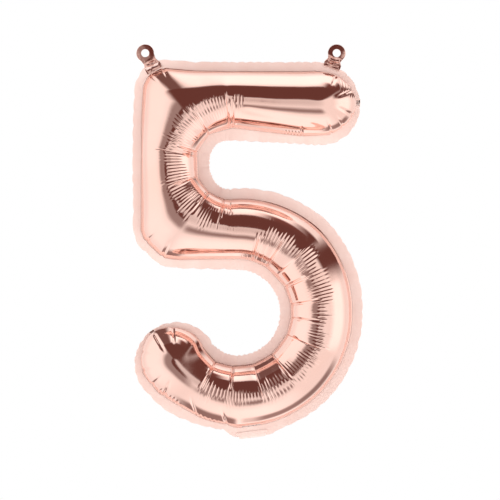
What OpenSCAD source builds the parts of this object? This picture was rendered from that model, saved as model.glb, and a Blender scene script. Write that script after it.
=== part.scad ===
// Foil number balloon, numeral 5, hung from two punched tabs.
//
// Two die-cut foil panels are heat-sealed along a flat margin, and air holds them apart in a
// round tube. The tube follows the numeral: top bar, stem, middle bar and bowl. A flat fill tail
// with a two-film valve leaves the bowl's lowest point, and is tucked up behind the balloon.
//
// Frame: the origin is midway between the two hanging holes, X runs along the hanging line,
// Z is up, and the front faces -Y. Inside the modules the numeral lies in the XY plane and its
// front faces +Z. place() turns it upright.

/* [Tube] */
// Radius of the inflated tube
tube_r = 28; // [24:0.5:30]
// Width of the flat sealed margin beside the tube
margin_w = 10.5; // [6:0.5:12]

/* [Numeral] */
// Distance of the stem's axis to the left of the origin
stem_x = 64.5; // [60:0.5:68]
// Distance of the top bar's axis below the hanging line
top_drop = 47.3; // [46:0.1:50]
// Distance from the top bar's axis to the middle bar's axis
bar_gap = 119.7; // [110:0.1:130]
// Distance of the top bar's end centre to the right of the origin
bar_end_x = 73.8; // [66:0.1:80]
// Radius of the bowl's axis
bowl_r = 79.5; // [74:0.5:84]
// Distance of the bowl's centre to the left of the origin
bowl_x = 3.5; // [0:0.5:10]
// Radius of the arm's axis, under the bowl
arm_r = 70; // [62:0.5:79]
// Length of the straight at the arm's end
arm_l = 4; // [2:1:24]

/* [Foil and film] */
// Thickness of a foil panel
foil_t = 0.35; // [0.3:0.05:0.5]
// Thickness of one valve film, and half the thickness of the heat seal
film_t = 0.15; // [0.1:0.05:0.2]

/* [Hanging tabs] */
// Distance between the two hanging holes
hang_span = 182; // [178:0.5:186]
// Radius of a hanging hole
hole_r = 3.8; // [2.5:0.1:4.5]
// Outer radius of the ring round the hole
ring_r = 8.5; // [7:0.1:10]
// Narrowest width of a tab
neck_w = 9; // [7:0.5:12]
// Width of a tab where it joins the margin
tab_root_w = 14; // [12:0.5:17]

/* [Fill tail] */
// Angle of the tail from straight down, seen from the bowl's centre
tail_turn = 7; // [6:1:20]
// Length of the tail
tail_l = 42; // [30:1:45]
// Width of the tail at its root
tail_root_w = 24; // [22:1:30]
// Width of the tail at its mouth
tail_mouth_w = 30; // [24:1:34]
// How far the tail is folded back from straight out
tail_fold = 128; // [0:1:128]
// Width of the valve's films
valve_w = 18; // [14:1:20]
// Length of the films inside the balloon
valve_in = 52; // [30:1:60]

/* [Hidden] */
$fn = 96;

seal_t = 2 * film_t;
laminate_t = seal_t + 2 * foil_t;
edge_r = tube_r + margin_w;
// Gap between the margin's edge and the line on which a tab or the tail bends
bend_gap = 1.2;
bend_r = edge_r + bend_gap;
// Side of the blocks that cut a run at a corner, longer than any run
far = 400;

top_corner = [-stem_x, -top_drop];
mid_corner = [-stem_x, -top_drop - bar_gap];
bar_end = [bar_end_x, -top_drop];
bowl_centre = [-bowl_x, mid_corner.y - bowl_r];
arm_centre = bowl_centre - [0, bowl_r - arm_r];
// The arm's turn past the bowl's lowest point, 53.13 degrees, which keeps its joints exact
arm_turn = acos(0.6);

left_hole = [-hang_span / 2, 0];
right_hole = [hang_span / 2, 0];
tail_angle = tail_turn - 90;
tail_root = bowl_centre + (bowl_r + bend_r) * [cos(tail_angle), sin(tail_angle)];

// Direction from a to b, in degrees
function heading(a, b) = atan2(b.y - a.y, b.x - a.x);

// Stands the numeral upright, front towards -Y
module place() {
    rotate([90, 0, 0]) children();
}

// ---- sweeping one profile round the numeral ----

// The half of a profile on the positive side of its axis
module outer_half() {
    intersection() {
        children();
        translate([0, -far / 2]) square([far, far]);
    }
}

// A straight run of the profile from a to b
module run(a, b) {
    translate([a.x, a.y, 0])
        rotate([0, 0, heading(a, b)])
            rotate([90, 0, 90])
                linear_extrude(norm(b - a)) children();
}

// The profile's outer half turned about p
module fan(p, from, sweep) {
    translate([p.x, p.y, 0])
        rotate([0, 0, from])
            rotate_extrude(angle = sweep) outer_half() children();
}

// Keeps what lies on the side of p that the angle points to
module keep(p, angle) {
    intersection() {
        children();
        translate([p.x, p.y, 0])
            rotate([0, 0, angle])
                translate([0, -far / 2, -far / 2]) cube(far);
    }
}

// The profile swept round the whole numeral, mitred inside its two corners
module numeral() {
    fan(bar_end, -90, 180) children();
    keep(top_corner, 45) run(top_corner, bar_end) children();
    fan(top_corner, 90, 90) children();
    keep(top_corner, -135) keep(mid_corner, 135) run(top_corner, mid_corner) children();
    fan(mid_corner, 180, 90) children();
    keep(mid_corner, -45) run(mid_corner, [-bowl_x, mid_corner.y]) children();
    bowl() children();
}

// The bowl's half turn, then the tighter arc of the arm, its short straight and its round end
module bowl() {
    translate([bowl_centre.x, bowl_centre.y, 0])
        rotate([0, 0, -90])
            rotate_extrude(angle = 180) translate([bowl_r, 0]) children();
    keep(arm_centre, -arm_turn)
        translate([arm_centre.x, arm_centre.y, 0])
            rotate([0, 0, 180])
                rotate_extrude(angle = 90) translate([arm_r, 0]) children();
    translate([arm_centre.x, arm_centre.y, 0])
        rotate([0, 0, -90 - arm_turn]) {
            run([arm_r, 0], [arm_r, -arm_l]) children();
            fan([arm_r, -arm_l], 180, 180) children();
        }
}

// ---- profiles ----

// One foil sheet cut across: half of the tube's wall, with a flat margin on each side
module sheet_profile() {
    intersection() {
        difference() {
            circle(tube_r);
            circle(tube_r - foil_t);
        }
        translate([-tube_r, film_t]) square([2 * tube_r, tube_r]);
    }
    for (side = [-1, 1])
        translate([side * (edge_r + tube_r - foil_t) / 2, film_t + foil_t / 2])
            square([margin_w + foil_t, foil_t], center = true);
}

// The sealing layer between the two margins
module seal_profile() {
    for (side = [-1, 1])
        translate([side * (edge_r + tube_r - foil_t) / 2, 0])
            square([margin_w + foil_t, seal_t], center = true);
}

// ---- panels and seal ----

module front_panel() {
    color("#e0a998") place() numeral() sheet_profile();
}

module back_panel() {
    color("#d79f8e") place() mirror([0, 0, 1]) numeral() sheet_profile();
}

// Places its children at the tail's root, with +Y pointing out of the balloon
module at_tail() {
    place()
        translate([tail_root.x, tail_root.y, 0])
            rotate([0, 0, tail_angle - 90]) children();
}

module heat_seal() {
    channel_l = 3 * margin_w;
    color("#f3d3c8") difference() {
        place() numeral() seal_profile();
        at_tail() translate([0, -margin_w, 0])
            cube([valve_w, channel_l, 2 * seal_t], center = true);
    }
}

// ---- hanging tabs ----

// Outline of a tab: a wide root, a narrow neck and a ring. Its hole is reach away from the root.
module tab_outline(reach) {
    neck_y = 0.3 * reach;
    translate([0, reach]) circle(ring_r);
    polygon([
        [-tab_root_w / 2, 0], [tab_root_w / 2, 0],
        [neck_w / 2, neck_y], [0.75 * ring_r, reach - 0.6 * ring_r],
        [-0.75 * ring_r, reach - 0.6 * ring_r], [-neck_w / 2, neck_y],
    ]);
}

// A tab that points from the centre of a corner to its hole
module hanging_tab(centre, hole) {
    reach = norm(hole - centre) - bend_r;
    color("#b06f60") place() difference() {
        translate([centre.x, centre.y, 0])
            rotate([0, 0, heading(centre, hole) - 90])
                translate([0, bend_r, -laminate_t / 2])
                    linear_extrude(laminate_t) tab_outline(reach);
        translate([hole.x, hole.y, -laminate_t]) cylinder(r = hole_r, h = 2 * laminate_t);
    }
}

module left_hanging_tab() {
    hanging_tab(top_corner, left_hole);
}

module right_hanging_tab() {
    hanging_tab(bar_end, right_hole);
}

// ---- valve inside the balloon ----

// One film of the valve, in front of the other for side 1 and behind it for side -1
module valve_film(side) {
    color("#e8eef0") at_tail()
        translate([-valve_w / 2, -bend_gap - valve_in, side > 0 ? 0 : -film_t])
            cube([valve_w, valve_in, film_t]);
}

module valve_front_film() {
    valve_film(1);
}

module valve_back_film() {
    valve_film(-1);
}

// ---- fill tail ----

// Places its children on the folded tail, with +Y pointing to the tail's mouth
module on_tail() {
    at_tail() rotate([-tail_fold, 0, 0]) children();
}

module tail_outline() {
    polygon([
        [-tail_root_w / 2, 0], [tail_root_w / 2, 0],
        [tail_root_w / 2, 0.6 * tail_l], [tail_mouth_w / 2, tail_l],
        [-tail_mouth_w / 2, tail_l], [-tail_root_w / 2, 0.6 * tail_l],
    ]);
}

// A layer of the tail from depth z, as thick as t
module tail_layer(z, t) {
    on_tail() translate([0, 0, z]) linear_extrude(t) children();
}

module tail_front_ply() {
    color("#e0a998") tail_layer(film_t, foil_t) tail_outline();
}

module tail_back_ply() {
    color("#d79f8e") tail_layer(-film_t - foil_t, foil_t) tail_outline();
}

module tail_side_seals() {
    color("#f3d3c8") tail_layer(-film_t, seal_t) difference() {
        tail_outline();
        translate([-valve_w / 2, -1]) square([valve_w, tail_l + 2]);
    }
}

// One film of the valve, where it lines the tail, short of the tail's mouth
module tail_film(z) {
    color("#e8eef0") tail_layer(z, film_t)
        translate([-valve_w / 2, 0]) square([valve_w, 0.8 * tail_l]);
}

module tail_front_film() {
    tail_film(0);
}

module tail_back_film() {
    tail_film(-film_t);
}

front_panel();
back_panel();
heat_seal();
left_hanging_tab();
right_hanging_tab();
valve_front_film();
valve_back_film();
tail_front_ply();
tail_back_ply();
tail_side_seals();
tail_front_film();
tail_back_film();
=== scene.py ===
"""Foil number balloon, numeral 5: the looks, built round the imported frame.

The tube follows one path: top bar, crook, middle bar, bowl and arm. Rows of points cross the path
from its left seam to its right seam, and a relaxation inflates them into a foil tube. The creases on
the inside of each bend start as grooves, which the last relaxation tightens. The fine ribs, folds and
lumps are laid on the surface after it. Lengths are in millimetres until a mesh is made.
"""
import math

import bpy
import numpy as np
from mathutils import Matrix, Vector


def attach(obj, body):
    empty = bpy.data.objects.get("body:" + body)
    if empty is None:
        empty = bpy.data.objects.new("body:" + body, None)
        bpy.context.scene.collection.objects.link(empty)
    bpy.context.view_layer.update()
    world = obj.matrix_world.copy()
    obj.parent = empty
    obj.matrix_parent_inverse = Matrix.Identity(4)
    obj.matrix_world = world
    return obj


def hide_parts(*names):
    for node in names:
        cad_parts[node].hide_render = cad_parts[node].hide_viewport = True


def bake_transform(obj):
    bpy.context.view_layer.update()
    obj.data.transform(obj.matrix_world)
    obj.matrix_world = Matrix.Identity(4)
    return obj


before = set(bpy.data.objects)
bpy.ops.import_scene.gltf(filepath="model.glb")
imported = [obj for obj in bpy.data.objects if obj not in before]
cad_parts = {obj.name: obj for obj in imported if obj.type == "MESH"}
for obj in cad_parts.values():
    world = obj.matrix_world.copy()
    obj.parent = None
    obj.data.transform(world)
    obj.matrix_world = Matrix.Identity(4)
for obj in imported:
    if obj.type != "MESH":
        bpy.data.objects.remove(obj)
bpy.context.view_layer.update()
MM = 0.001

# ---- sizes that part.scad also holds ----

TUBE_R = 28.0
TOP_Z = -47.3
MID_Z = -167.0
STEM_X = 64.5           # from the middle to the stem's axis
HOLE_X = 91.0           # from the middle to each hanging hole
BAR_END = np.array([73.8, TOP_Z])
BOWL = np.array([-3.5, -246.5])
BOWL_R = 79.5
ARM = np.array([-3.5, -256.0])
ARM_R = 70.0
ARM_TURN = 53.13
ARM_L = 4.0

# ---- the foil's own shape ----

ROW_GAP = 0.85          # distance between rows along the tube's axis
COLUMNS = 48            # points across one row
CROOK = np.array([-12.0, -104.8])   # centre from which the crook's rows fan out
CROOK_A = 31.7          # half-axes of the crook's inner seam
CROOK_B = 34.5
CREASE_DEPTH = 2.3      # groove of the creases that cross a bend's inside, before it relaxes
VALLEY_DEPTH = 0.75     # the fine valley cut along each of those creases afterwards
SHOULDER_HEIGHT = 0.3   # its raised shoulders, and how far they lie from its line
SHOULDER_AT = 1.9
RIB_WAVE = 3.1          # distance between the fine ribs
RIB_HEIGHT = 0.24       # beside a bend's crest
LIP_RIB_HEIGHT = 0.26   # on a bend's inner lip
SEAM_RIB_HEIGHT = 0.34  # at the seam
LUMP_HEIGHT = 0.13      # slow unevenness all over
CREST_FROM_SEAM = 26.0  # how far the crook's crest lies from its inner seam
# Share of the rows, number of steps and push of the air, from the coarse shape to the fine one
LEVELS = [(0.25, 300, 0.06), (0.5, 160, 0.04), (1.0, 120, 0.02)]

# The outer seam round the stem: the top, the cut corner, the left side and the lower cut corner
STEM_SEAM = np.array([
    [-11, -17.8], [-44, -17.0], [-74, -14.2], [-86.5, -19.5], [-92.5, -31], [-94, -60],
    [-94.5, -150], [-95, -169], [-91.5, -177.5], [-74, -194], [-60, -196], [-11, -195],
])

# Half-widths of the tube at stations of each stretch, to its left seam and to its right seam
HALF = {
    "cap": ([0, 90], [31.5, 31.5], [30, 31.5]),
    "bar": ([-12, 57, 73.8], [22.7, 31.2, 31.5], [29.5, 29.5, 30]),
    "mid": ([-12, -3.5], [27.5, 28], [28, 28]),
    "bowl": ([-90, -84, -45, 0, 45, 90], [29.5, 28.5, 29.5, 29, 31, 28], [28, 28, 28, 28, 28, 28]),
    "arm": ([-143.13, -118, -97, -90], [31, 26.5, 26.5, 29.5], [30, 27, 28, 28]),
    "straight": ([0, 4], [31, 32.5], [30, 32.5]),
    "end": ([0, 90], [32.5, 32.5], [32.5, 32.5]),
}

# Widths of the sealed margin in the same way
MARGIN = {
    "cap": ([0, 45, 90], [8.2, 9.2, 7.5], [8.5, 7, 7.5]),
    "bar": ([-12, 20, 57, 73.8], [12.5, 10, 7.5, 8.2], [9, 9, 9, 8.5]),
    "crook": ([90, 126, 180, 215, 234, 270], [12.5, 12, 13.5, 12.5, 11, 9.5], [9, 8, 8.5, 7.5, 7.5, 10]),
    "mid": ([-12, -3.5], [9.8, 10], [10, 10.5]),
    "bowl": ([-90, -74, -68, -45, 0, 45, 90], [9.5, 10.8, 8.5, 9.5, 10.3, 11, 10.2], [10.5] * 7),
    "arm": ([-143.13, -125, -104, -96, -90], [7.5, 8.5, 6, 5.5, 9.5], [8.5, 11.5, 11, 10.5, 10.5]),
    "straight": ([0, 4], [7.5, 6.5], [8.5, 7]),
    "end": ([0, 90], [6.5, 6], [7, 6]),
}


def smooth(x, a, b):
    """0 before a, 1 after b, with a soft step between."""
    t = np.clip((np.asarray(x, float) - a) / (b - a), 0, 1)
    return t * t * (3 - 2 * t)


def polar(centre, r, degrees):
    a = np.radians(degrees)
    return np.stack([centre[0] + r * np.cos(a), centre[1] + r * np.sin(a)], -1)


def table(values, name, s):
    """The left and right value of a table at a station of a stretch."""
    at, left, right = values[name]
    return float(np.interp(s, at, left)), float(np.interp(s, at, right))


def stem_hit(theta):
    """Where a ray from the crook's centre meets the outer seam."""
    d = polar([0, 0], 1, theta)
    for a, b in zip(STEM_SEAM[:-1], STEM_SEAM[1:]):
        e = b - a
        across = d[0] * e[1] - d[1] * e[0]
        if abs(across) < 1e-9:
            continue
        w = a - CROOK
        t = (w[0] * e[1] - w[1] * e[0]) / across
        u = (w[0] * d[1] - w[1] * d[0]) / across
        if t > 0 and -1e-6 <= u <= 1 + 1e-6:
            return CROOK + t * d
    raise ValueError("the ray misses the seam")


def steps(a, b, length):
    """Evenly spaced values from a towards b, for a stretch of this length; b itself is left out."""
    n = max(2, int(round(length / ROW_GAP)))
    return np.linspace(a, b, n, endpoint=False)


def build_rows():
    """Left seam, right seam and half-depth of every row, with the stretch and station it lies at."""
    left, right, depth, tag = [], [], [], []

    def add(name, s, l, r, d):
        left.append(l)
        right.append(r)
        depth.append(d)
        tag.append((name, float(s)))

    def turned(name, s, centre, radius, sign):
        l, r = table(HALF, name, s)
        add(name, s, polar(centre, radius + sign * l, s), polar(centre, radius - sign * r, s), TUBE_R)

    quarter = math.pi / 2 * TUBE_R
    for a in steps(87.0, 0.0, quarter):
        l, r = table(HALF, "cap", a)
        ca, sa = math.cos(math.radians(a)), math.sin(math.radians(a))
        add("cap", a, BAR_END + [l * sa, -l * ca], BAR_END + [r * sa, r * ca], TUBE_R * ca)
    for x in steps(BAR_END[0], CROOK[0], BAR_END[0] - CROOK[0]):
        l, r = table(HALF, "bar", x)
        add("bar", x, [x, TOP_Z - l], [x, TOP_Z + r], TUBE_R)
    for a in steps(90.0, 270.0, 190):
        r = math.radians(a)
        inner = CROOK + [CROOK_A * math.cos(r), CROOK_B * math.sin(r)]
        add("crook", a, inner, stem_hit(a), TUBE_R)
    for x in steps(CROOK[0], BOWL[0], BOWL[0] - CROOK[0]):
        l, r = table(HALF, "mid", x)
        add("mid", x, [x, MID_Z + l], [x, MID_Z - r], TUBE_R)
    for a in steps(90.0, -90.0, math.pi * BOWL_R):
        turned("bowl", a, BOWL, BOWL_R, 1)
    for a in steps(-90.0, -90.0 - ARM_TURN, math.radians(ARM_TURN) * ARM_R):
        turned("arm", a, ARM, ARM_R, 1)
    out = polar([0, 0], 1, -90.0 - ARM_TURN)
    on = np.array([out[1], -out[0]])
    foot = ARM + ARM_R * out
    for s in steps(0.0, ARM_L, ARM_L):
        l, r = table(HALF, "straight", s)
        add("straight", s, foot + on * s + l * out, foot + on * s - r * out, TUBE_R)
    foot = foot + on * ARM_L
    for a in np.append(steps(0.0, 87.0, quarter), 87.0):
        l, r = table(HALF, "end", a)
        ca, sa = math.cos(math.radians(a)), math.sin(math.radians(a))
        add("end", a, foot + l * (on * sa + out * ca), foot + r * (on * sa - out * ca), TUBE_R * ca)
    left, right = soften(np.array(left, float)), soften(np.array(right, float))
    return left, right, np.array(depth, float), tag


def soften(seam):
    """Rounds a seam's corners a little."""
    for _ in range(3):
        seam[1:-1] += 0.25 * (seam[2:] + seam[:-2] - 2 * seam[1:-1])
    return seam


def station(tag, name, value):
    """The row of a stretch that lies nearest to a station."""
    near = [(abs(s - value), i) for i, (n, s) in enumerate(tag) if n == name]
    return min(near)[1]


def chord(seam, marks, share):
    """Draws a seam towards straight lines between its marked rows."""
    out = seam.copy()
    marks = sorted(set(marks))
    for a, b in zip(marks[:-1], marks[1:]):
        t = np.linspace(0, 1, b - a + 1)[:, None]
        out[a : b + 1] += share * ((1 - t) * seam[a] + t * seam[b] - seam[a : b + 1])
    return out


def ripple(n, gap, wave, seed):
    """Smooth noise along n points a gap apart, about 1 high, with this wavelength."""
    rng = np.random.default_rng(seed)
    knots = rng.uniform(-1, 1, int(n * gap / wave) + 4)
    x = np.arange(n) * gap / wave
    i = x.astype(int)
    f = smooth(x - i, 0, 1)
    return knots[i] * (1 - f) + knots[i + 1] * f


# Places of the creases on the inside of each bend, and of the facets round the two ends
CROOK_CREASES = [("bar", -8), ("crook", 126), ("crook", 160), ("crook", 203), ("crook", 234), ("crook", 262)]
BOWL_CREASES = [("bowl", a) for a in (74, 58, 29, 10, -5, -24, -50, -73)] + [("arm", -96), ("arm", -118)]
END_FACETS_RIGHT = [("cap", 77), ("cap", 30), ("bar", 70)]
END_FACETS_LEFT = [("cap", 68), ("cap", 46), ("cap", 20), ("bar", 58)]
ARM_FACETS_LEFT = [("arm", -112), ("arm", -138), ("end", 22), ("end", 45), ("end", 80)]
ARM_FACETS_RIGHT = [("arm", -140), ("end", 20), ("end", 48), ("end", 75)]


# Short folds that run in from the seam at the ends and corners, and one long soft fold under the top
# bar: start, end, depth and half-width
FOLDS = [
    ((94.5, -12), (84, -36), 0.9, 1.2), ((108, -34), (89, -44), 0.9, 1.3),
    ((109, -61), (89, -51), 1.0, 1.3), ((100, -73.5), (86, -56), 0.9, 1.2),
    ((88, -81.5), (80, -61), 0.8, 1.1), ((58, -82.5), (57, -66), 0.6, 1.0),
    ((-4, -54.5), (84, -72.5), 0.6, 3.2),
    ((-74, -329), (-66, -308), 1.0, 1.3), ((-89, -319), (-72, -303), 0.9, 1.2),
    ((-98, -302), (-76, -297), 1.0, 1.3), ((-95, -283), (-75, -289), 1.0, 1.3),
    ((-81, -268), (-70, -286), 0.9, 1.2), ((-64.5, -258.5), (-62, -280), 0.8, 1.1),
    ((-43, -342), (-48, -323), 0.8, 1.1), ((-13, -354), (-19, -334), 0.8, 1.1),
    ((-94, -182), (-76, -168), 1.0, 1.4), ((-77, -197), (-65, -176), 1.0, 1.4),
    ((-90, -18), (-77, -30), 0.8, 1.2), ((-75, -12), (-68, -28), 0.8, 1.2),
]

LONG_FOLD_WIDTH = 3.0   # a fold this wide fades in and out, a narrower one starts at the seam

# Stretches with short ribs at a seam: stations, whether it is the right seam, and how far they reach
SEAM_RIBS = [
    ("cap", 66, 34, True, 0.42), ("bar", 40, 58, False, 0.16), ("arm", -101, -116, False, 0.16),
    ("arm", -126, -140, False, 0.2), ("crook", 236, 262, False, 0.12), ("bowl", 86, 70, True, 0.16),
]


def surplus(q):
    """Share of surplus length along the tube, from the inner seam of a bend (0) to the outer (1)."""
    return np.interp(q, [0, 0.08, 0.22, 0.42, 0.55, 0.68, 1], [0, 0.07, 0.11, 0.06, 0.02, 0, 0])


def project(p, a, b, rest, stiffness):
    """Moves each pair of points towards its rest length."""
    d = p[b] - p[a]
    length = np.sqrt((d * d).sum(-1))
    d *= ((length - rest) / np.maximum(length, 1e-9) * 0.5 * stiffness)[..., None]
    p[a] += d
    p[b] -= d


def pairs(n, m, di, dj):
    """Slices of linked points in a grid, in two sets that share no point."""
    out = []
    for first in (0, 1):
        if di:
            rows_a, rows_b = slice(first, n - 1, 2), slice(first + 1, n, 2)
            cols_a, cols_b = (slice(0, m - dj), slice(dj, m)) if dj >= 0 else (slice(1, m), slice(0, m - 1))
            out.append(((rows_a, cols_a), (rows_b, cols_b)))
        else:
            out.append(((slice(0, n), slice(first, m - 1, 2)), (slice(0, n), slice(first + 1, m, 2))))
    return out


def normals(p):
    """Unit normals of a grid of points, turned to the front."""
    du = np.gradient(p, axis=0)
    dv = np.gradient(p, axis=1)
    n = np.cross(du, dv)
    n /= np.maximum(np.linalg.norm(n, axis=-1, keepdims=True), 1e-9)
    return n * np.sign(-n[..., 1:2].mean())


def relax(start, rest_shape, stretch, steps_n, push):
    """Inflates a sheet. Links keep the rest shape's lengths, longer along the tube by the stretch."""
    n, m, _ = start.shape
    p, last = start.copy(), start.copy()
    pins = (start[:, 0].copy(), start[:, -1].copy())
    links = []
    for di, dj, k in ((1, 0, 1.0), (0, 1, 1.0), (1, 1, 0.4), (1, -1, 0.4)):
        for a, b in pairs(n, m, di, dj):
            rest = np.linalg.norm(rest_shape[b] - rest_shape[a], axis=-1)
            if di:
                run = np.broadcast_to(0.5 * (stretch[a] + stretch[b]), rest.shape)
                along = rest_shape[a[0], :][:, b[1]] - rest_shape[b]
                along = np.linalg.norm(along, axis=-1)
                rest = np.sqrt(rest**2 + along**2 * ((1 + run) ** 2 - 1))
            links.append((a, b, rest, k))
    for step in range(steps_n):
        velocity = (p - last) * 0.9
        last = p.copy()
        p += velocity + normals(p) * push
        for _ in range(3):
            for a, b, rest, k in links:
                project(p, a, b, rest, k)
            p[1:-1] += 0.03 * (0.5 * (p[2:] + p[:-2]) - p[1:-1])
            p[:, 0], p[:, -1] = pins
            np.minimum(p[..., 1], 0, out=p[..., 1])
    return p


def resample(p, n, m):
    """The same surface as a grid of n rows and m columns, along smooth curves."""
    for axis, size in ((0, n), (1, m)):
        q = np.moveaxis(p, axis, 0)
        q = np.concatenate([2 * q[:1] - q[1:2], q, 2 * q[-1:] - q[-2:-1]])
        x = np.linspace(0, len(q) - 3, size)
        i = np.minimum(x.astype(int), len(q) - 4)
        t = (x - i)[(...,) + (None,) * (q.ndim - 1)]
        a, b, c, d = q[i], q[i + 1], q[i + 2], q[i + 3]
        q = b + 0.5 * t * (c - a + t * (2 * a - 5 * b + 4 * c - d + t * (3 * (b - c) + d - a)))
        p = np.moveaxis(q, 0, axis)
    return p


def bend_shares(tag):
    """How far each row lies in a bend, with the bend's inside on the left seam or on the right."""
    left, right = np.zeros(len(tag)), np.zeros(len(tag))
    for i, (name, s) in enumerate(tag):
        if name == "bar":
            left[i] = smooth(-s, -12, 8)
        elif name == "crook":
            left[i] = 1 - 0.6 * smooth(s, 240, 268)
            right[i] = 0.35 * smooth(s, 245, 268)
        elif name == "mid":
            left[i], right[i] = 0.4, 0.35
        elif name == "bowl":
            left[i] = 0.4 * (1 - smooth(-s, -85, -60))
            right[i] = 0.35 + 0.65 * smooth(-s, -80, -55)
        elif name == "arm":
            right[i] = 1 - smooth(-s, 105, 128)
    return left, right


def sharpen_creases(p, tag):
    """Cuts a fine valley with raised shoulders along each crease."""
    n, m, _ = p.shape
    place = np.linspace(0, len(tag) - 1, n)[:, None]
    q = np.linspace(0, 1, m)[None, :]
    out = normals(p)
    for side, marks in ((q, CROOK_CREASES), (1 - q, BOWL_CREASES)):
        for k, mark in enumerate(marks):
            end = 0.50 + 0.06 * math.sin(2.3 * k)
            away = (place - station(tag, *mark)) * ROW_GAP
            shoulders = SHOULDER_HEIGHT * np.exp(-(((np.abs(away) - SHOULDER_AT) / 0.9) ** 2))
            valley = shoulders - VALLEY_DEPTH * np.exp(-((away / 0.85) ** 2))
            p = p + out * (valley * smooth(side, 0.0, 0.05) * (1 - smooth(side, end - 0.08, end)))[..., None]
    return p


def press_folds(p, out):
    """Presses the folds into the foil."""
    flat = p[..., [0, 2]]
    for start, stop, deep, wide in FOLDS:
        a, e = np.array(start, float), np.array(stop, float) - np.array(start, float)
        t = np.clip(((flat - a) @ e) / (e @ e), 0, 1)
        away = np.linalg.norm(flat - a - t[..., None] * e, axis=-1)
        fade = 1 - smooth(t, 0.25, 1.0)
        if wide >= LONG_FOLD_WIDTH:
            fade = smooth(t, 0, 0.15) * (1 - smooth(t, 0.8, 1.0))
        p = p - out * (deep * np.exp(-((away / wide) ** 2)) * fade)[..., None]
    return p


def rib_wave(n, gap, seed):
    """A row of ribs with uneven spacing."""
    phase = 2 * math.pi * np.arange(n) * gap / RIB_WAVE + 2.2 * ripple(n, gap, 16, seed)
    return np.sin(phase) + 0.25 * np.sin(2 * phase + 0.7)


def add_ribs(p, tag, seed):
    """Fine ribs across the tube: beside a bend's crest, on its inner lip and at a few seam places."""
    n, m, _ = p.shape
    place = np.linspace(0, len(tag) - 1, n)
    shares = [np.interp(place, np.arange(len(tag)), s) for s in bend_shares(tag)]
    out = normals(p)
    q = np.linspace(0, 1, m)[None, :]
    gap = ROW_GAP * (len(tag) - 1) / (n - 1)
    bands = ((q, shares[0], 1, 0.32, 0.51), (1 - q, shares[1], 2, 0.41, 0.59))
    for side, share, k, start, stop in bands:
        low = start + 0.06 * ripple(n, gap, 5, seed + k + 10)
        high = stop + 0.06 * ripple(n, gap, 4, seed + k + 20)
        strength = np.clip(0.65 + 0.55 * ripple(n, gap, 9, seed + k + 30), 0, 1.2) * smooth(share, 0.3, 0.9)
        window = smooth(side - low[:, None], -0.05, 0.05) * (1 - smooth(side - high[:, None], -0.05, 0.05))
        height = RIB_HEIGHT * (rib_wave(n, gap, seed + k) * strength)[:, None] * window
        lip_reach = 0.07 + 0.03 * ripple(n, gap, 4, seed + k + 40)
        lip = smooth(share, 0.5, 0.95)[:, None] * (1 - smooth(side - lip_reach[:, None], -0.03, 0.03))
        lip_ribs = LIP_RIB_HEIGHT * rib_wave(n, gap, seed + k + 50)[:, None] * lip
        height = height + lip_ribs * smooth(side, 0, 0.02)
        p = p + out * height[..., None]
    for name, start, stop, right_seam, reach in SEAM_RIBS:
        i, j = sorted((station(tag, name, start), station(tag, name, stop)))
        along = smooth(place, i - 3, i + 3) * (1 - smooth(place, j - 3, j + 3))
        side = 1 - q if right_seam else q
        fade = 1 - smooth(side + 0.03 * ripple(n, gap, 3, seed + i)[:, None], reach - 0.08, reach)
        height = SEAM_RIB_HEIGHT * rib_wave(n, gap, seed + i)[:, None] * along[:, None] * fade
        p = p + out * (height * smooth(side, 0, 0.03))[..., None]
    return p


def crest_power(left, right, tag):
    """Power that draws the crest of the crook's wide rows towards the inner seam."""
    width = np.linalg.norm(right - left, axis=1)
    crest = np.where([name == "crook" for name, _ in tag], np.clip(CREST_FROM_SEAM / width, 0.33, 0.5), 0.5)
    for _ in range(40):
        crest[1:-1] += 0.25 * (crest[2:] + crest[:-2] - 2 * crest[1:-1])
    return np.log(crest) / math.log(0.5)


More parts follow.
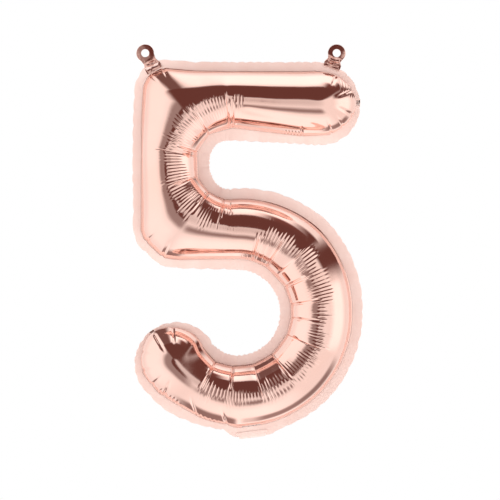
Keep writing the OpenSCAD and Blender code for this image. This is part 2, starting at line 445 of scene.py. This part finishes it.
def inflate(seed):
    """The front half of the tube as a grid of points: rows along the path, columns across it."""
    left, right, depth, tag = build_rows()
    n = len(tag)
    l_marks = [station(tag, *c) for c in CROOK_CREASES + END_FACETS_LEFT]
    r_marks = [station(tag, *c) for c in BOWL_CREASES + ARM_FACETS_RIGHT]
    arm_marks = [station(tag, *c) for c in ARM_FACETS_LEFT]
    cap_marks = [station(tag, *c) for c in END_FACETS_RIGHT]
    seam_l = chord(chord(left, l_marks, 0.85), arm_marks, 0.85)
    seam_r = chord(chord(right, r_marks, 0.85), cap_marks, 0.85)

    def sheet(l, r, m):
        angle = np.linspace(0, math.pi, m)
        reach = (0.5 * (1 - np.cos(angle)))[None, :] ** crest_power(l, r, tag)[:, None]
        flat = l[:, None] + (r - l)[:, None] * reach[..., None]
        out = np.empty((n, m, 3))
        out[..., 0], out[..., 2] = flat[..., 0], flat[..., 1]
        out[..., 1] = -depth[:, None] * np.sin(angle)[None]
        return out

    in_left, in_right = bend_shares(tag)
    p = sheet(seam_l, seam_r, COLUMNS)
    for level, (share, count, push) in enumerate(LEVELS):
        rows, cols = int(n * share), int(COLUMNS * max(share, 0.5))
        rest = resample(sheet(left, right, cols), rows, cols)
        p = resample(p, rows, cols)
        edge = resample(sheet(seam_l, seam_r, cols), rows, cols)
        p[:, 0], p[:, -1] = edge[:, 0], edge[:, -1]
        q = np.linspace(0, 1, cols)[None, :]
        place = np.linspace(0, n - 1, rows)
        share_l, share_r = (np.interp(place, np.arange(n), s)[:, None] for s in (in_left, in_right))
        stretch = share_l * surplus(q) + share_r * surplus(1 - q)
        if level == len(LEVELS) - 1:
            out = normals(p)
            for side, marks in ((q, CROOK_CREASES), (1 - q, BOWL_CREASES)):
                for mark in marks:
                    away = (place[:, None] - station(tag, *mark)) * ROW_GAP
                    groove = np.exp(-((away / 1.35) ** 2)) * (1 - smooth(side, 0.44, 0.58))
                    p -= out * (CREASE_DEPTH * groove * smooth(side, 0, 0.1))[..., None]
        p[..., 1] = np.minimum(p[..., 1], 0)
        p = relax(p, rest, stretch, count, push)
    for _ in range(4):
        p[:, 1:-1] += 0.25 * (p[:, 2:] + p[:, :-2] - 2 * p[:, 1:-1])
    p = add_ribs(resample(p, 2 * n - 1, 2 * COLUMNS - 1), tag, seed)
    p = sharpen_creases(p, tag)
    p = press_folds(p, normals(p))
    q = np.linspace(0, 1, 2 * COLUMNS - 1)[None, :]
    lumps = sum(
        ripple(2 * n - 1, ROW_GAP / 2, wave, seed + k)[:, None] * np.cos(math.pi * k * q + k)
        for k, wave in ((1, 34), (2, 26), (3, 21), (4, 30))
    )
    p += normals(p) * (LUMP_HEIGHT * lumps * np.sin(math.pi * q))[..., None]
    p[..., 1] = np.minimum(p[..., 1], 0)
    return p, left, right, tag


def outward(seam, other):
    """Unit normals of a seam in its plane, away from the other seam."""
    t = np.gradient(seam, axis=0)
    n = np.stack([-t[:, 1], t[:, 0]], -1)
    n /= np.linalg.norm(n, axis=1, keepdims=True)
    return n * np.sign(((seam - other) * n).sum(1).mean())


# Where the margin's columns lie across it. Its first narrow strip is still bright foil.
MARGIN_STEPS = (0.07, 0.2, 0.4, 0.6, 0.8, 1.0)


def margins(grid, left, right, tag, side):
    """Adds the flat sealed margin to both sides of a fine grid. side is -1 for the front."""
    n = len(grid)
    old, new = np.linspace(0, 1, len(left)), np.linspace(0, 1, n)

    def fine(a):
        return np.stack([np.interp(new, old, a[:, k]) for k in range(a.shape[1])], -1)

    widths = fine(np.array([table(MARGIN, *t) for t in tag]))
    for _ in range(30):
        widths[1:-1] += 0.25 * (widths[2:] + widths[:-2] - 2 * widths[1:-1])
    gap = ROW_GAP / 2
    strips = []
    for k, (seam, other, col) in enumerate(((left, right, 0), (right, left, -1))):
        scallop = np.abs(np.sin(math.pi * np.arange(n) * gap / 8.5 + 1.5 * ripple(n, gap, 18, 30 + k)))
        width = widths[:, k] - 0.5 + 0.9 * scallop**0.7 + 0.25 * ripple(n, gap, 3.2, 50 + k)
        edge = fine(seam) + fine(outward(seam, other)) * width[:, None]
        wave = 0.3 * ripple(n, gap, 11, 60 + k) + 0.12 * ripple(n, gap, 4, 70 + k)
        rim = grid[:, col]
        strip = []
        for t in MARGIN_STEPS:
            flat = rim[:, [0, 2]] * (1 - t) + edge * t
            y = wave * t**1.5 + side * 0.2
            strip.append(np.stack([flat[:, 0], y, flat[:, 1]], -1)[:, None])
        strips.append(strip)
    return np.concatenate(strips[0][::-1] + [grid] + strips[1], axis=1)


def mesh_object(name, points, faces, materials, slots=None, shade_smooth=True):
    mesh = bpy.data.meshes.new(name)
    mesh.from_pydata((np.asarray(points) * MM).tolist(), [], [list(map(int, f)) for f in faces])
    obj = bpy.data.objects.new(name, mesh)
    bpy.context.scene.collection.objects.link(obj)
    for m in materials:
        mesh.materials.append(m)
    if slots is not None:
        mesh.polygons.foreach_set("material_index", np.asarray(slots, np.int32))
    mesh.polygons.foreach_set("use_smooth", np.full(len(mesh.polygons), shade_smooth))
    mesh.update()
    return obj


def panel(name, grid, left, right, tag, side, materials):
    """One foil sheet with its margin, as a mesh and as its grid of points."""
    full = margins(grid, left, right, tag, side)
    n, m, _ = full.shape
    index = np.arange(n * m).reshape(n, m)
    quads = np.stack([index[:-1, :-1], index[1:, :-1], index[1:, 1:], index[:-1, 1:]], -1).reshape(-1, 4)
    col = np.tile(np.arange(m - 1), n - 1)
    sealed_cols = len(MARGIN_STEPS) - 1
    slots = ((col < sealed_cols) | (col >= m - 1 - sealed_cols)).astype(int)
    tips = []
    for row in (0, n - 1):
        for j in range(len(MARGIN_STEPS)):
            q = [index[row, j], index[row, j + 1], index[row, m - 2 - j], index[row, m - 1 - j]]
            tips.append(q[::-1] if row == 0 else q)
    quads = np.concatenate([quads, np.array(tips)])
    slots = np.append(slots, np.ones(len(tips), int))
    if side > 0:
        quads = quads[:, ::-1]
    return mesh_object(name, full.reshape(-1, 3), quads, materials, slots), full


def edge_strip(name, front_grid, back_grid, materials):
    """The seal where the two sheets meet, as a narrow band round the whole outline."""
    loops = []
    for g in (front_grid, back_grid):
        loops.append(np.concatenate([g[:, 0], g[::-1, -1]]))
    mid = (loops[0] + loops[1]) / 2
    along = np.roll(mid, -1, axis=0) - np.roll(mid, 1, axis=0)
    out = np.stack([along[:, 2], np.zeros(len(mid)), -along[:, 0]], -1)
    out /= np.maximum(np.linalg.norm(out, axis=1, keepdims=True), 1e-9)
    area = (mid[:, 0] * np.roll(mid[:, 2], -1) - np.roll(mid[:, 0], -1) * mid[:, 2]).sum()
    out *= np.sign(area)
    rings = [loops[0], mid + 0.2 * out, loops[1]]
    n = len(mid)
    points = np.concatenate(rings)
    faces = []
    for k in range(2):
        for i in range(n):
            j = (i + 1) % n
            faces.append([k * n + i, k * n + j, (k + 1) * n + j, (k + 1) * n + i])
    return mesh_object(name, points, faces, materials)


# ---- hanging tabs ----

RING_R = 8.5
HOLE_R = 3.8
CREASE_R = TUBE_R + 11.7     # from a corner's centre to the line on which its tab bends
TAB_HALF_THICKNESS = 0.22
TAB_ROUND = 96               # points round a tab, and from its hole to its edge
TAB_RADIAL = 22


def tab_outline(reach):
    """Corners of a tab's outline, with the root's line at 0 and the ring round (0, reach)."""
    right = [[8.2, -5.5], [8.4, 0], [6.3, 0.3 * reach], [7.2, reach - 4.4]]
    arc = [[RING_R * math.cos(a), reach + RING_R * math.sin(a)] for a in np.linspace(-0.5, math.pi + 0.5, 40)]
    return np.array(right + arc + [[-x, y] for x, y in right[::-1]])


def ray_to(outline, centre, angle):
    """Distance from the centre to the outline in one direction."""
    d = np.array([math.cos(angle), math.sin(angle)])
    best = 0.0
    for a, b in zip(outline, np.roll(outline, -1, axis=0)):
        e, w = b - a, a - centre
        across = d[0] * e[1] - d[1] * e[0]
        if abs(across) < 1e-9:
            continue
        t = (w[0] * e[1] - w[1] * e[0]) / across
        u = (w[0] * d[1] - w[1] * d[0]) / across
        if t > 0 and -1e-6 <= u <= 1 + 1e-6:
            best = max(best, t)
    return best


def hanging_tab(name, corner, hole, node, seed, lean, twist, materials):
    """A tab of doubled film: a crumpled root on the margin, a short neck and a punched ring."""
    a, b, c = np.random.default_rng(seed).uniform(0, 2 * math.pi, 3)
    corner, hole = np.array(corner), np.array(hole)
    along = (hole - corner) / np.linalg.norm(hole - corner)
    across = np.array([along[1], -along[0]])
    root = corner + along * CREASE_R
    reach = float(np.linalg.norm(hole - root))
    outline, centre = tab_outline(reach), np.array([0.0, reach])
    points = []
    for k in range(TAB_ROUND):
        angle = 2 * math.pi * k / TAB_ROUND
        far = ray_to(outline, centre, angle)
        for j in range(TAB_RADIAL + 1):
            r = HOLE_R + (far - HOLE_R) * j / TAB_RADIAL
            points.append(centre + r * np.array([math.cos(angle), math.sin(angle)]))
    points = np.array(points)
    v, u = points[:, 0], points[:, 1]
    base = smooth(u, -3.5, -0.5) * (1 - smooth(u, 3.5, 8))
    y = base * 0.6 * np.sin(2 * math.pi * u / 4.0 + 0.9 * np.sin(0.55 * v + a) + b)
    y += base * 0.35 * np.sin(0.75 * v + 0.6 * u + c)
    y += smooth(u, 1, 9) * (lean * (u - reach) + twist * v + 0.008 * (v * v - 20))
    y += -0.75 * (1 - smooth(u, -3, 1.5))
    flat = root + across * v[:, None] + along * u[:, None]
    front = np.stack([flat[:, 0], y - TAB_HALF_THICKNESS, flat[:, 1]], -1)
    back = np.stack([flat[:, 0], y + TAB_HALF_THICKNESS, flat[:, 1]], -1)
    ring, size = TAB_RADIAL + 1, TAB_ROUND * (TAB_RADIAL + 1)
    faces, slots = [], []
    for k in range(TAB_ROUND):
        i, j = k * ring, ((k + 1) % TAB_ROUND) * ring
        for r in range(TAB_RADIAL):
            faces.append([i + r, i + r + 1, j + r + 1, j + r])
            faces.append([size + j + r, size + j + r + 1, size + i + r + 1, size + i + r])
            rim = int(r >= TAB_RADIAL - 1)
            slots += [rim, rim]
        for r, flip in ((0, False), (TAB_RADIAL, True)):
            q = [i + r, j + r, size + j + r, size + i + r]
            faces.append(q[::-1] if flip else q)
            slots.append(1)
    tab = mesh_object(name, np.concatenate([front, back]), faces, materials, slots)
    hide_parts(node)
    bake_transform(tab)
    return tab


# ---- fill tail ----

TAIL_FOLD = 128.0
TAIL_TURN = 7.0
TAIL_L = 42.0
TAIL_HALF_ROOT = 12.0
TAIL_HALF_MOUTH = 15.0
ROOT_FLARE = 3.0        # how much wider each side is where the tail leaves the margin
MOUTH_OPENING = 1.6     # how far each ply bulges at the mouth


def tail_frame():
    """The crease's point, the direction along it, and the one straight out of the balloon."""
    a = math.radians(TAIL_TURN - 90)
    out = np.array([math.cos(a), 0, math.sin(a)])
    along = np.array([-out[2], 0, out[0]])
    crease = np.array([BOWL[0], 0, BOWL[1]]) + (BOWL_R + CREASE_R) * out
    return crease, along, out


def tail_sheet(name, side, node, materials, seed):
    """One ply of the tail from inside the margin, over the crease and up behind the balloon."""
    crease, along, out = tail_frame()
    back = np.array([0, 1.0, 0])
    lengths = np.concatenate([np.linspace(-6, -2, 5), np.linspace(-1.6, 1.6, 17), np.linspace(2, TAIL_L, 74)])
    turn = np.radians(TAIL_FOLD) * smooth(lengths, -1.5, 1.5)
    spine, heading, lift = [], [], []
    p = crease + out * lengths[0]
    for k, t in enumerate(turn):
        h = math.cos(t) * out + math.sin(t) * back
        if k:
            p = p + h * (lengths[k] - lengths[k - 1])
        spine.append(p)
        heading.append(h)
        lift.append(-math.sin(t) * out + math.cos(t) * back)
    spine, lift = np.array(spine), np.array(lift)
    at = int(np.argmin(np.abs(lengths)))
    spine += crease - spine[at]
    half = TAIL_HALF_ROOT + (TAIL_HALF_MOUTH - TAIL_HALF_ROOT) * smooth(lengths, 0.45 * TAIL_L, 0.85 * TAIL_L)
    half = half + ROOT_FLARE * (1 - smooth(lengths, -6, 0.5))
    across = np.linspace(-1, 1, 41)
    w, x = lengths[:, None], across[None, :]
    puff = (1 - x**2) ** 0.5
    open_up = MOUTH_OPENING * smooth(w, 0.7 * TAIL_L, TAIL_L) * puff
    crumple = 0.25 * np.sin(0.9 * w + 2.3 * np.sin(3.1 * x + seed))
    crumple = crumple + 0.2 * np.sin(9 * x + 0.35 * w + 2 * seed)
    body = smooth(w, 1.5, 7)
    gap = 0.3 + body * puff * (0.45 + open_up + 0.5 + crumple) + (1 - body) * 0.1 * puff
    sway = 0.5 * body * np.sin(0.16 * w + 1.3 * x)
    points = (
        spine[:, None]
        + along[None, None] * (x * half[:, None])[..., None]
        + lift[:, None] * (sway + side * gap)[..., None]
    )
    n, m = points.shape[:2]
    index = np.arange(n * m).reshape(n, m)
    quads = np.stack([index[:-1, :-1], index[1:, :-1], index[1:, 1:], index[:-1, 1:]], -1).reshape(-1, 4)
    if side > 0:
        quads = quads[:, ::-1]
    slots = np.repeat((lengths[1:] < 0.8).astype(int), m - 1)
    sheet = mesh_object(name, points.reshape(-1, 3), quads, materials, slots)
    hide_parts(node)
    blend_tail(sheet)
    return points


def blend_tail(piece):
    """Bakes a tail piece's placement into its mesh."""
    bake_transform(piece)


def tail_seams(front_points, back_points, materials):
    """The two sealed side edges of the tail, and nothing across its mouth, which stays open."""
    points, faces = [], []
    _, along, _ = tail_frame()
    for col, sign in ((0, -1), (-1, 1)):
        a, b = front_points[:, col], back_points[:, col]
        mid = (a + b) / 2 + sign * along * 0.35
        first = len(points)
        n = len(a)
        points += list(a) + list(mid) + list(b)
        for k in range(2):
            for i in range(n - 1):
                low, high = first + k * n + i, first + (k + 1) * n + i
                q = [low, low + 1, high + 1, high]
                faces.append(q if sign > 0 else q[::-1])
    seams = mesh_object("tail_seams", points, faces, materials)
    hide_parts("tail_side_seals")
    blend_tail(seams)
    return seams


# ---- materials ----


def material(name, colour, metallic, roughness, **more):
    """A Principled material with uniform values on its own sockets."""
    m = bpy.data.materials.new(name)
    m.use_nodes = True
    shader = m.node_tree.nodes["Principled BSDF"]
    shader.inputs["Base Color"].default_value = (*colour, 1)
    shader.inputs["Metallic"].default_value = metallic
    shader.inputs["Roughness"].default_value = roughness
    for key, value in more.items():
        shader.inputs[key.replace("_", " ")].default_value = value
    return m


def noise(m, scale, detail, stretch=(1, 1, 1)):
    """Noise in the object's own coordinates, scale in waves per metre."""
    nodes, links = m.node_tree.nodes, m.node_tree.links
    coord = nodes.new("ShaderNodeTexCoord")
    place = nodes.new("ShaderNodeMapping")
    place.inputs["Scale"].default_value = stretch
    texture = nodes.new("ShaderNodeTexNoise")
    texture.inputs["Scale"].default_value = scale
    texture.inputs["Detail"].default_value = detail
    links.new(coord.outputs["Object"], place.inputs["Vector"])
    links.new(place.outputs["Vector"], texture.inputs["Vector"])
    return texture.outputs["Fac"]


def vary(m, socket, source, low, high):
    """Feeds one of the shader's inputs from a texture, between two numbers or two colours."""
    nodes, links = m.node_tree.nodes, m.node_tree.links
    target = nodes["Principled BSDF"].inputs[socket]
    if isinstance(low, tuple):
        ramp = nodes.new("ShaderNodeValToRGB")
        ramp.color_ramp.elements[0].position = 0.3
        ramp.color_ramp.elements[1].position = 0.7
        ramp.color_ramp.elements[0].color = (*low, 1)
        ramp.color_ramp.elements[1].color = (*high, 1)
        links.new(source, ramp.inputs["Fac"])
        links.new(ramp.outputs["Color"], target)
        return
    spread = nodes.new("ShaderNodeMapRange")
    spread.inputs["From Min"].default_value = 0.3
    spread.inputs["From Max"].default_value = 0.7
    spread.inputs["To Min"].default_value = low
    spread.inputs["To Max"].default_value = high
    links.new(source, spread.inputs["Value"])
    links.new(spread.outputs["Result"], target)


def bump(m, source, strength, distance):
    """Adds a bump from a texture on top of any that the shader already has."""
    nodes, links = m.node_tree.nodes, m.node_tree.links
    node = nodes.new("ShaderNodeBump")
    node.inputs["Strength"].default_value = strength
    node.inputs["Distance"].default_value = distance
    links.new(source, node.inputs["Height"])
    last = nodes["Principled BSDF"].inputs["Normal"]
    if last.is_linked:
        links.new(last.links[0].from_socket, node.inputs["Normal"])
    links.new(node.outputs["Normal"], last)


def foil_material():
    """Mirror-bright rose-gold film with a faint orange peel and a little handling haze."""
    m = material("foil", (0.97, 0.66, 0.58), 1.0, 0.07)
    vary(m, "Base Color", noise(m, 18, 3), (0.97, 0.645, 0.56), (0.975, 0.685, 0.61))
    vary(m, "Roughness", noise(m, 55, 4), 0.05, 0.11)
    bump(m, noise(m, 90, 1), 0.05, 0.001)
    bump(m, noise(m, 900, 2), 0.03, 0.0002)
    return m


def sealed_material():
    """The pressed margin, paler and duller than the tube, with the grain of the sealing bar."""
    m = material("sealed_margin", (0.98, 0.79, 0.73), 0.12, 0.38)
    vary(m, "Base Color", noise(m, 60, 4), (0.97, 0.755, 0.69), (0.99, 0.815, 0.755))
    vary(m, "Roughness", noise(m, 200, 3), 0.3, 0.48)
    bump(m, noise(m, 260, 3), 0.35, 0.0006)
    bump(m, noise(m, 1800, 2), 0.15, 0.0001)
    return m


def tab_material():
    """Doubled, pressed film of the tabs: deeper rose, with creased patches."""
    m = material("tab_foil", (0.85, 0.52, 0.45), 1.0, 0.1)
    vary(m, "Base Color", noise(m, 140, 3), (0.80, 0.47, 0.40), (0.92, 0.60, 0.52))
    vary(m, "Roughness", noise(m, 300, 3), 0.07, 0.16)
    bump(m, noise(m, 260, 2), 0.2, 0.0006)
    return m


def tail_material():
    """The tail's film, limper than the tube's and crinkled all over."""
    m = material("tail_foil", (0.95, 0.65, 0.57), 1.0, 0.12)
    vary(m, "Base Color", noise(m, 70, 3), (0.92, 0.61, 0.53), (0.97, 0.69, 0.61))
    vary(m, "Roughness", noise(m, 240, 3), 0.08, 0.2)
    bump(m, noise(m, 230, 4), 0.45, 0.0012)
    return m


def film_material():
    """Clear plastic film of the valve, milky where it wrinkles."""
    m = material("valve_film", (0.93, 0.95, 0.96), 0.0, 0.22, Transmission_Weight=0.5, IOR=1.46)
    vary(m, "Roughness", noise(m, 320, 3), 0.15, 0.4)
    bump(m, noise(m, 300, 3), 0.3, 0.0004)
    return m


# ---- the balloon ----

foil, sealed, tab_foil = foil_material(), sealed_material(), tab_material()
tail_foil, film = tail_material(), film_material()

shape, left, right, tag = inflate(7)
front, front_grid = panel("front_foil", shape, left, right, tag, -1, [foil, sealed])
back_shape, _, _, _ = inflate(19)
back, back_grid = panel("back_foil", back_shape * [1, -1, 1], left, right, tag, 1, [foil, sealed])
edge = edge_strip("sealed_edge", front_grid, back_grid, [sealed])
for piece, node, slot in (
    (front, "front_panel", "front_foil"), (back, "back_panel", "back_foil"), (edge, "heat_seal", "seal"),
):
    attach(piece, "balloon")
    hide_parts(node)

tab_skins = [tab_foil, sealed]
hanging_tab(
    "left_tab_film", (-STEM_X, TOP_Z), (-HOLE_X, 0), "left_hanging_tab",
    seed=3, lean=0.2, twist=-0.08, materials=tab_skins,
)
hanging_tab(
    "right_tab_film", BAR_END, (HOLE_X, 0), "right_hanging_tab",
    seed=8, lean=0.2, twist=0.05, materials=tab_skins,
)

tail_front_points = tail_sheet("tail_front", -1, "tail_front_ply", [tail_foil, sealed], 1)
tail_back_points = tail_sheet("tail_back", 1, "tail_back_ply", [tail_foil, sealed], 2)
tail_seams(tail_front_points, tail_back_points, [sealed])

for name in ("valve_front_film", "valve_back_film", "tail_front_film", "tail_back_film"):
    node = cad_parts[name]
    node.data.materials.clear()
    node.data.materials.append(film)


# ---- stage ----


def build_world():
    """A white studio with dark gaps between its soft boxes, drawn by direction."""
    world = bpy.data.worlds.new("studio")
    bpy.context.scene.world = world
    world.use_nodes = True
    nodes, links = world.node_tree.nodes, world.node_tree.links
    nodes.clear()

    def calc(operation, a, b=0.0):
        n = nodes.new("ShaderNodeMath")
        n.operation = operation
        for socket, value in zip(n.inputs, (a, b)):
            if isinstance(value, (int, float)):
                socket.default_value = value
            else:
                links.new(value, socket)
        return n.outputs[0]

    def soft_step(value, middle, soft):
        n = nodes.new("ShaderNodeMapRange")
        n.interpolation_type = "SMOOTHSTEP"
        links.new(value, n.inputs["Value"])
        n.inputs["From Min"].default_value = middle - soft
        n.inputs["From Max"].default_value = middle + soft
        return n.outputs["Result"]

    def between(value, low, high, soft):
        down = calc("SUBTRACT", 1.0, soft_step(value, high, soft))
        return calc("MULTIPLY", soft_step(value, low, soft), down)

    x, y, z = nodes.new("ShaderNodeSeparateXYZ").outputs
    links.new(nodes.new("ShaderNodeTexCoord").outputs["Generated"], x.node.inputs[0])
    # degrees away from the front, and the angle round that axis: 0 right, 90 up, 180 left
    off = calc("DEGREES", calc("ARCCOSINE", calc("MULTIPLY", y, -1.0)))
    turn = calc("DEGREES", calc("ARCTAN2", z, x))
    flank = calc("ABSOLUTE", turn)

    def most(zones):
        total = None
        for angle, a0, a1, a_soft, o0, o1, o_soft, strength in zones:
            zone = calc("MULTIPLY", between(angle, a0, a1, a_soft), between(off, o0, o1, o_soft))
            zone = calc("MULTIPLY", zone, strength)
            total = zone if total is None else calc("MAXIMUM", total, zone)
        return total

    # each zone: which angle, its range and softness, degrees off the front, their softness, strength
    dark = most([
        (flank, 120, 190, 9, 3, 17, 4, 1.0),
        (flank, 120, 190, 9, 6, 36, 7, 0.75),
        (turn, 40, 134, 10, 9, 60, 3.5, 1.0),
        (turn, 44, 76, 9, 10, 77, 5, 1.0),
        (turn, 36, 57, 7, 10, 97, 6, 1.0),
        (turn, 99, 126, 5, 36, 172, 8, 0.95),
        (turn, 20, 38, 6, 44, 185, 8, 1.0),
        (turn, -84, -30, 7, 96, 124, 7, 0.8),
        (turn, -122, -97, 6, 98, 168, 10, 0.85),
        (turn, -146, -97, 6, 142, 176, 7, 0.8),
        (turn, -114, -62, 10, 22, 38, 8, 0.8),
        (flank, -1, 190, 1, -20, 12, 10, 0.3),
    ])
    bright = most([
        (turn, 58, 98, 10, 64, 118, 12, 1.0),
        (flank, 130, 190, 8, 44, 104, 14, 0.4),
        (flank, -5, 19, 8, 48, 96, 12, 0.8),
        (turn, -112, -60, 14, 50, 140, 16, 0.6),
    ])
    rays = nodes.new("ShaderNodeLightPath")
    level = calc("ADD", 0.99, calc("MULTIPLY", bright, 0.45))
    level = calc("ADD", level, calc("MULTIPLY", rays.outputs["Is Diffuse Ray"], 1.05))
    light = nodes.new("ShaderNodeMix")
    light.data_type = "RGBA"
    light.inputs["A"].default_value = (1, 0.97, 0.95, 1)
    light.inputs["B"].default_value = (0.14, 0.055, 0.046, 1)
    links.new(dark, light.inputs["Factor"])
    boxes = nodes.new("ShaderNodeBackground")
    links.new(light.outputs["Result"], boxes.inputs["Color"])
    links.new(level, boxes.inputs["Strength"])
    plain = nodes.new("ShaderNodeBackground")
    plain.inputs["Color"].default_value = (1, 1, 1, 1)
    choose = nodes.new("ShaderNodeMixShader")
    links.new(rays.outputs["Is Camera Ray"], choose.inputs["Fac"])
    links.new(boxes.outputs[0], choose.inputs[1])
    links.new(plain.outputs[0], choose.inputs[2])
    links.new(choose.outputs[0], nodes.new("ShaderNodeOutputWorld").inputs["Surface"])


FLOOR_R = 420.0
FLOOR_BACK = 60.0       # how far the floor's centre lies behind the balloon
FLOOR_Z = -640.0
FLOOR_SIDES = 96


def build_floor():
    """A pale round floor well below the hanging balloon."""
    m = material("floor", (0.93, 0.92, 0.915), 0.0, 0.8)
    angles = np.linspace(0, 2 * math.pi, FLOOR_SIDES, endpoint=False)
    vary(m, "Base Color", noise(m, 6, 2), (0.92, 0.91, 0.905), (0.94, 0.93, 0.925))
    rim = [[FLOOR_R * math.cos(a), FLOOR_BACK + FLOOR_R * math.sin(a), FLOOR_Z] for a in angles]
    floor = mesh_object("floor", rim, [range(FLOOR_SIDES)], [m], shade_smooth=False)
    floor.visible_glossy = False


CAMERA = (0.0086, -3.0, -0.187)    # straight in front of the balloon's middle, in metres
VIEW_WIDTH = 0.475                 # what the frame takes in at the balloon


def build_camera():
    """A long lens straight in front."""
    camera = bpy.data.objects.new("camera", bpy.data.cameras.new("camera"))
    bpy.context.scene.collection.objects.link(camera)
    camera.location = CAMERA
    camera.rotation_euler = (math.pi / 2, 0, 0)
    camera.data.lens = camera.data.sensor_width * -CAMERA[1] / VIEW_WIDTH
    camera.data.clip_end = 50
    bpy.context.scene.camera = camera


build_world()
build_floor()
build_camera()
bpy.context.scene.view_settings.view_transform = "Standard"
